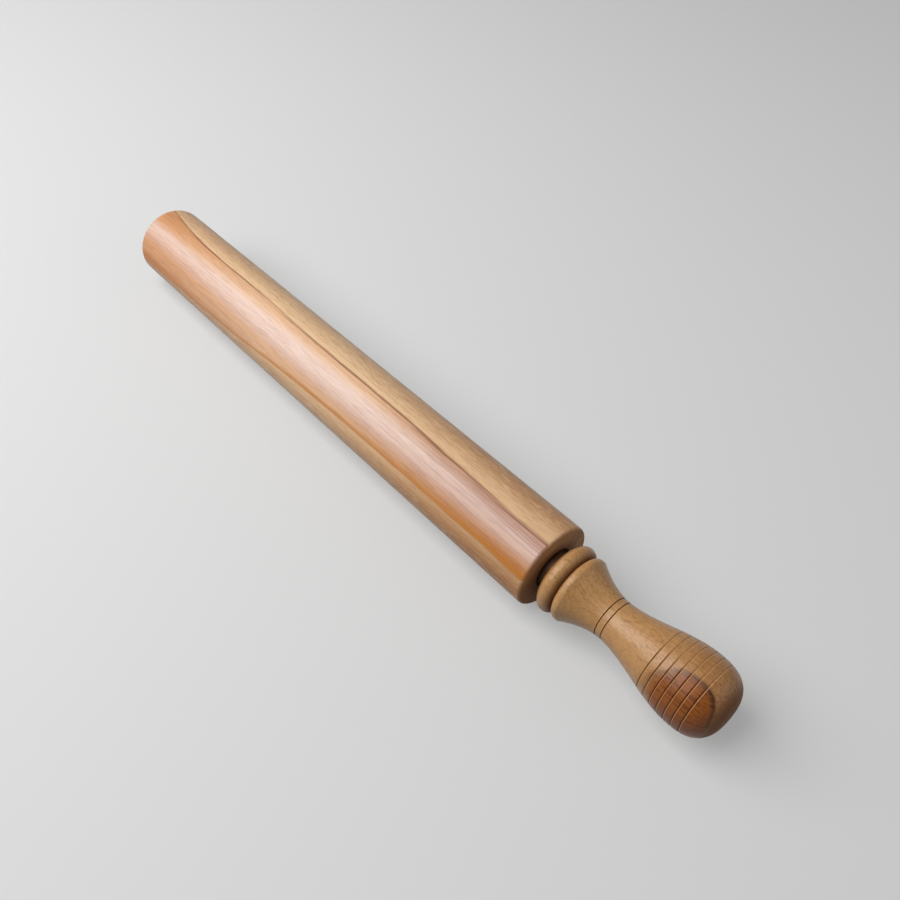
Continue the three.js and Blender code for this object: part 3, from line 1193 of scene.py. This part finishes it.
@dataclass
class Studio:
    """The camera at the photograph's viewing angle, the plain pale floor and the soft light."""

    lens: float = 34.57
    sensor: float = 36.0
    near_clip: float = 0.01
    camera_past_roller: float = 136.1 * MM
    camera_beside_axis: float = -186.3 * MM
    camera_above_axis: float = 339.3 * MM
    forward: Triple = (-0.4924, 0.4412, -0.7503)
    roll: float = -0.135
    floor_size: float = 12.0
    floor_pale: Colour = (0.42, 0.42, 0.42)
    floor_dim: Colour = (0.06, 0.06, 0.06)
    floor_glow: float = 0.28
    floor_roughness: float = 0.9
    floor_shine: float = 0.1
    sky_strength: float = 0.13
    horizon_strength: float = 0.5
    horizon_top: float = 10.0
    horizon_fade: float = 25.0
    softbox_size: Pair = (1.5, 1.0)
    softbox_past_roller: float = 0.42
    softbox_distance: float = 0.95
    softbox_watts: float = 18.0
    fill_size: Pair = (0.8, 0.8)
    fill_direction: Triple = (0.8, 0.45, 0.4)
    fill_distance: float = 1.0
    fill_watts: float = 1.3

    def build(self, roller: Roller) -> None:
        """Sets up the scene round the pin.

        Args:
            roller: The roller, whose place the camera and the lamps are measured from.
        """
        bpy.context.scene.view_settings.view_transform = "Standard"
        self._camera(roller)
        self._floor()
        self._sky()
        self._lamps(roller)

    def _camera(self, roller: Roller) -> None:
        """Places the camera and makes it the scene's own.

        Args:
            roller: The roller.
        """
        lens = bpy.data.cameras.new("camera")
        lens.lens = self.lens
        lens.sensor_width = self.sensor
        lens.clip_start = self.near_clip
        camera = bpy.data.objects.new("camera", lens)
        camera.location = (roller.near_face + self.camera_past_roller, self.camera_beside_axis,
                           roller.axis_height + self.camera_above_axis)
        roll = Quaternion((0.0, 0.0, 1.0), math.radians(self.roll))
        camera.rotation_euler = (Vector(self.forward).to_track_quat("-Z", "Y") @ roll).to_euler()
        bpy.context.scene.collection.objects.link(camera)
        bpy.context.scene.camera = camera

    def _floor(self) -> None:
        """Lays the plain pale floor under the roller."""
        shape = bmesh.new()
        bmesh.ops.create_grid(shape, x_segments=1, y_segments=1, size=self.floor_size / 2)
        mesh = bpy.data.meshes.new("floor")
        shape.to_mesh(mesh)
        shape.free()
        paint = Paint("floor_paint")
        seen = paint.seen()
        paint.shade("Base Color", paint.mix(seen, self.floor_dim, self.floor_pale))
        paint.shade("Emission Strength", paint.times(seen, self.floor_glow))
        paint.shade("Emission Color", WHITE)
        paint.shade("Roughness", self.floor_roughness)
        paint.shade("Specular IOR Level", self.floor_shine)
        mesh.materials.append(paint.material)
        floor = bpy.data.objects.new("floor", mesh)
        bpy.context.scene.collection.objects.link(floor)
        floor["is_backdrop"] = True

    def _sky(self) -> None:
        """Lights the pin evenly from all round, and shows a paler grey near the horizon."""
        world = bpy.data.worlds.new("sky")
        world.use_nodes = True
        graph = Graph(world.node_tree)
        top = math.sin(math.radians(self.horizon_top))
        end = math.sin(math.radians(self.horizon_fade))
        horizon = Fade(top, end, self.horizon_strength, self.sky_strength)
        shown = graph.fade(graph.split("Generated")[2], horizon)
        strength = graph.node("ShaderNodeMapRange", graph.seen(), 0.0, 1.0, self.sky_strength, shown)
        background = graph.node("ShaderNodeBackground")
        graph.feed(background.inputs["Strength"], strength.outputs[0])
        graph.node("ShaderNodeOutputWorld", background.outputs[0])
        bpy.context.scene.world = world

    def _lamps(self, roller: Roller) -> None:
        """Hangs a softbox past the far end on the camera's side, and a weak fill past the handle's tip.

        Args:
            roller: The roller.
        """
        over = Vector((0.0, self.camera_beside_axis, self.camera_above_axis)).normalized()
        far = Vector((roller.far_face - self.softbox_past_roller, 0.0, roller.axis_height))
        place = far + over * self.softbox_distance
        hang_lamp("softbox", self.softbox_size, self.softbox_watts, place, over)
        past = Vector(self.fill_direction).normalized()
        place = Vector((roller.near_face, 0.0, roller.axis_height)) + past * self.fill_distance
        hang_lamp("fill", self.fill_size, self.fill_watts, place, past)


def roller_timber(roller: Roller) -> Timber:
    """Gives the roller's timber: a broad heartwood band that faces up, between paler flanks.

    Args:
        roller: The roller.

    Returns:
        The timber.
    """
    angles = (
        (0.0, -56, 56), (0.12, -51, 41), (0.3, -43.5, 38), (0.47, -31.5, 34), (0.72, -26, 32),
        (0.86, -27, 29), (1.0, -29, 25.7),
    )
    heart = Heartwood(
        angle=-38.7, reach=roller.radius,
        edges=tuple(HeartEdge.between(share, roller.radius, *meeting) for share, *meeting in angles),
        upper_blur=0.2 * MM, lower_blur=0.4 * MM, start_blur=0.0,
        line_share=0.85, line_width=0.65 * MM, line_start=-0.2,
        streak_share=0.12, glow_share=0.8, rosy_share=0.9, core_share=0.9,
    )
    tones = Tones(
        sap_pale=srgb(240, 205, 164), sap_dark=srgb(226, 184, 138), sap_shade_brown=srgb(182, 114, 50),
        heart_warm=srgb(228, 183, 144), heart_core_sheen=srgb(217, 184, 168),
        heart_orange=srgb(198, 120, 36), heart_rosy=srgb(192, 144, 122),
        heart_streak=srgb(150, 100, 78), edge_line=srgb(134, 82, 58), edge_glow=srgb(204, 132, 54),
        pore=srgb(140, 92, 62), fibre_shade=srgb(206, 182, 162), end_grain=srgb(206, 152, 98),
    )
    return Timber("roller_timber", roller.axis_height, roller.far_face, roller.near_face, heart, tones)


def plug_timber(roller: Roller) -> Timber:
    """Gives the plug's timber: an offcut of the roller's own, set in with its grain turned."""
    timber = roller_timber(roller)
    return replace(timber, name="plug_timber", heart=replace(timber.heart, angle=40.0))


def handle_timber(handle: Handle) -> Timber:
    """Gives the handle's timber: flecked sapwood with a tongue of heartwood on the bulb.

    Args:
        handle: The handle.

    Returns:
        The timber.
    """
    heights = (
        (0.0, 30.0), (0.6, 19.2), (0.7, 15.8), (0.78, 12.4), (0.86, 11.4), (0.92, 11.7), (0.96, 13.2),
        (1.0, 18.0),
    )
    heart = Heartwood(
        angle=-68.7, reach=34 * MM,
        edges=tuple(HeartEdge(share, height * MM, 0.0) for share, height in heights),
        upper_blur=0.7 * MM, lower_blur=1.6 * MM, start_blur=3.8 * MM,
        line_share=1.3, line_width=1.6 * MM, line_start=0.68,
        streak_share=0.8, glow_share=0.0, rosy_share=0.1, core_share=0.0,
    )
    tones = Tones(
        sap_pale=srgb(200, 152, 98), sap_dark=srgb(174, 124, 72), sap_shade_brown=srgb(150, 92, 42),
        heart_warm=srgb(154, 87, 27), heart_core_sheen=srgb(154, 87, 27), heart_orange=srgb(142, 73, 17),
        heart_rosy=srgb(156, 98, 60), heart_streak=srgb(100, 50, 18),
        edge_line=srgb(76, 40, 20), edge_glow=srgb(140, 74, 30), pore=srgb(116, 70, 36),
        fibre_shade=srgb(206, 182, 162), end_grain=srgb(112, 66, 30),
    )
    grain = Grain(
        streak=Pattern((25.0, 1100.0, 1100.0), 4.0, 0.62),
        fleck=Pattern((330.0, 1400.0, 1400.0), 2.0, 0.6),
        pith_depth=48 * MM,
        ring_tone=Fade(0.35, 0.72, 0.0, 0.45), fibre_tone=Fade(0.4, 0.75, 0.0, 0.3),
        dark_fleck=Fade(0.5, 0.7, 0.0, 0.38), pale_fleck=Fade(0.45, 0.33, 0.0, 0.76),
        calm_middle=Fade(0.0, 6 * MM, 0.3, 1.0), near_gold=Fade(0.5, 1.0, 0.0, 0.5),
        side_brown=Fade(13 * MM, 22 * MM, 0.0, 0.2), low_brown=Fade(-6 * MM, -18 * MM, 0.0, 0.2),
    )
    varnish = Varnish(shine=0.3, sap_coat=0.55, heart_coat=0.22)
    return Timber("handle_timber", handle.axis_height, handle.nose_face, handle.tip, heart, tones,
                  grain, varnish, CutLook())


def plain_finishes() -> tuple[PlainFinish, ...]:
    """Gives the finishes of the hidden pieces.

    Returns:
        The finishes.
    """
    around = Pattern((900.0, 40.0, 40.0), 3.0, 0.6)
    along = Pattern((20.0, 1200.0, 1200.0), 3.0, 0.6)
    grainy = Pattern((1500.0, 1500.0, 1500.0), 3.0, 0.6)
    return (
        PlainFinish(Finish.AXLE_STEEL, (0.56, 0.57, 0.58), (0.44, 0.45, 0.46), 1.0, 0.22, along),
        PlainFinish(Finish.BEARING_STEEL, (0.7, 0.71, 0.72), (0.58, 0.59, 0.6), 1.0, 0.08, around),
        PlainFinish(Finish.INSERT_BRASS, (0.68, 0.47, 0.17), (0.55, 0.36, 0.12), 1.0, 0.25, around),
        PlainFinish(Finish.CAGE_PLASTIC, (0.42, 0.35, 0.22), (0.36, 0.29, 0.18), 0.0, 0.45, grainy),
        PlainFinish(Finish.SEAL_RUBBER, (0.018, 0.018, 0.02), (0.03, 0.03, 0.032), 0.0, 0.6, grainy),
    )


def dress_hidden_pieces() -> None:
    """Gives each piece inside the pin its finish from the record's slot."""
    materials = {finish.slot.value: finish.build() for finish in plain_finishes()}
    for row in frame["record"]["subparts"]:
        material = materials.get(row["material_slot"])
        if material is None:
            continue
        node = frame["nodes"][row["node"]]
        node.data.materials.clear()
        node.data.materials.append(material)
        LOG.info("%s: %s", row["node"], row["material_slot"])


def write_sizes(cad_box: tuple[Vector, Vector]) -> None:
    """Measures the dressed pin's box and lays it out beside the frame's box; nothing is written.

    Args:
        cad_box: The box measured before any piece was made.
    """
    boxes = {"cad": cad_box, "visual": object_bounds()}
    rows = {name: [list(corner) for corner in box] for name, box in boxes.items()}


def main() -> None:
    """Builds the pin's fine surfaces, dresses them and sets the scene."""
    logging.basicConfig(level=logging.INFO, format="%(name)s %(message)s")
    cad_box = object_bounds()
    roller = Roller()
    handle = Handle()
    roller_wood, plug = roller.build()
    dress(roller_wood, roller_timber(roller).build(), Body.ROLLER, Finish.ROLLER_WOOD, "roller")
    dress(plug, plug_timber(roller).build(), Body.ROLLER, Finish.PLUG_WOOD, "end_plug")
    dress(handle.build(), handle_timber(handle).build(), Body.HANDLE, Finish.HANDLE_WOOD, "handle")
    dress_hidden_pieces()
    Studio().build(roller)
    write_sizes(cad_box)


if __name__ == "__main__":
    main()
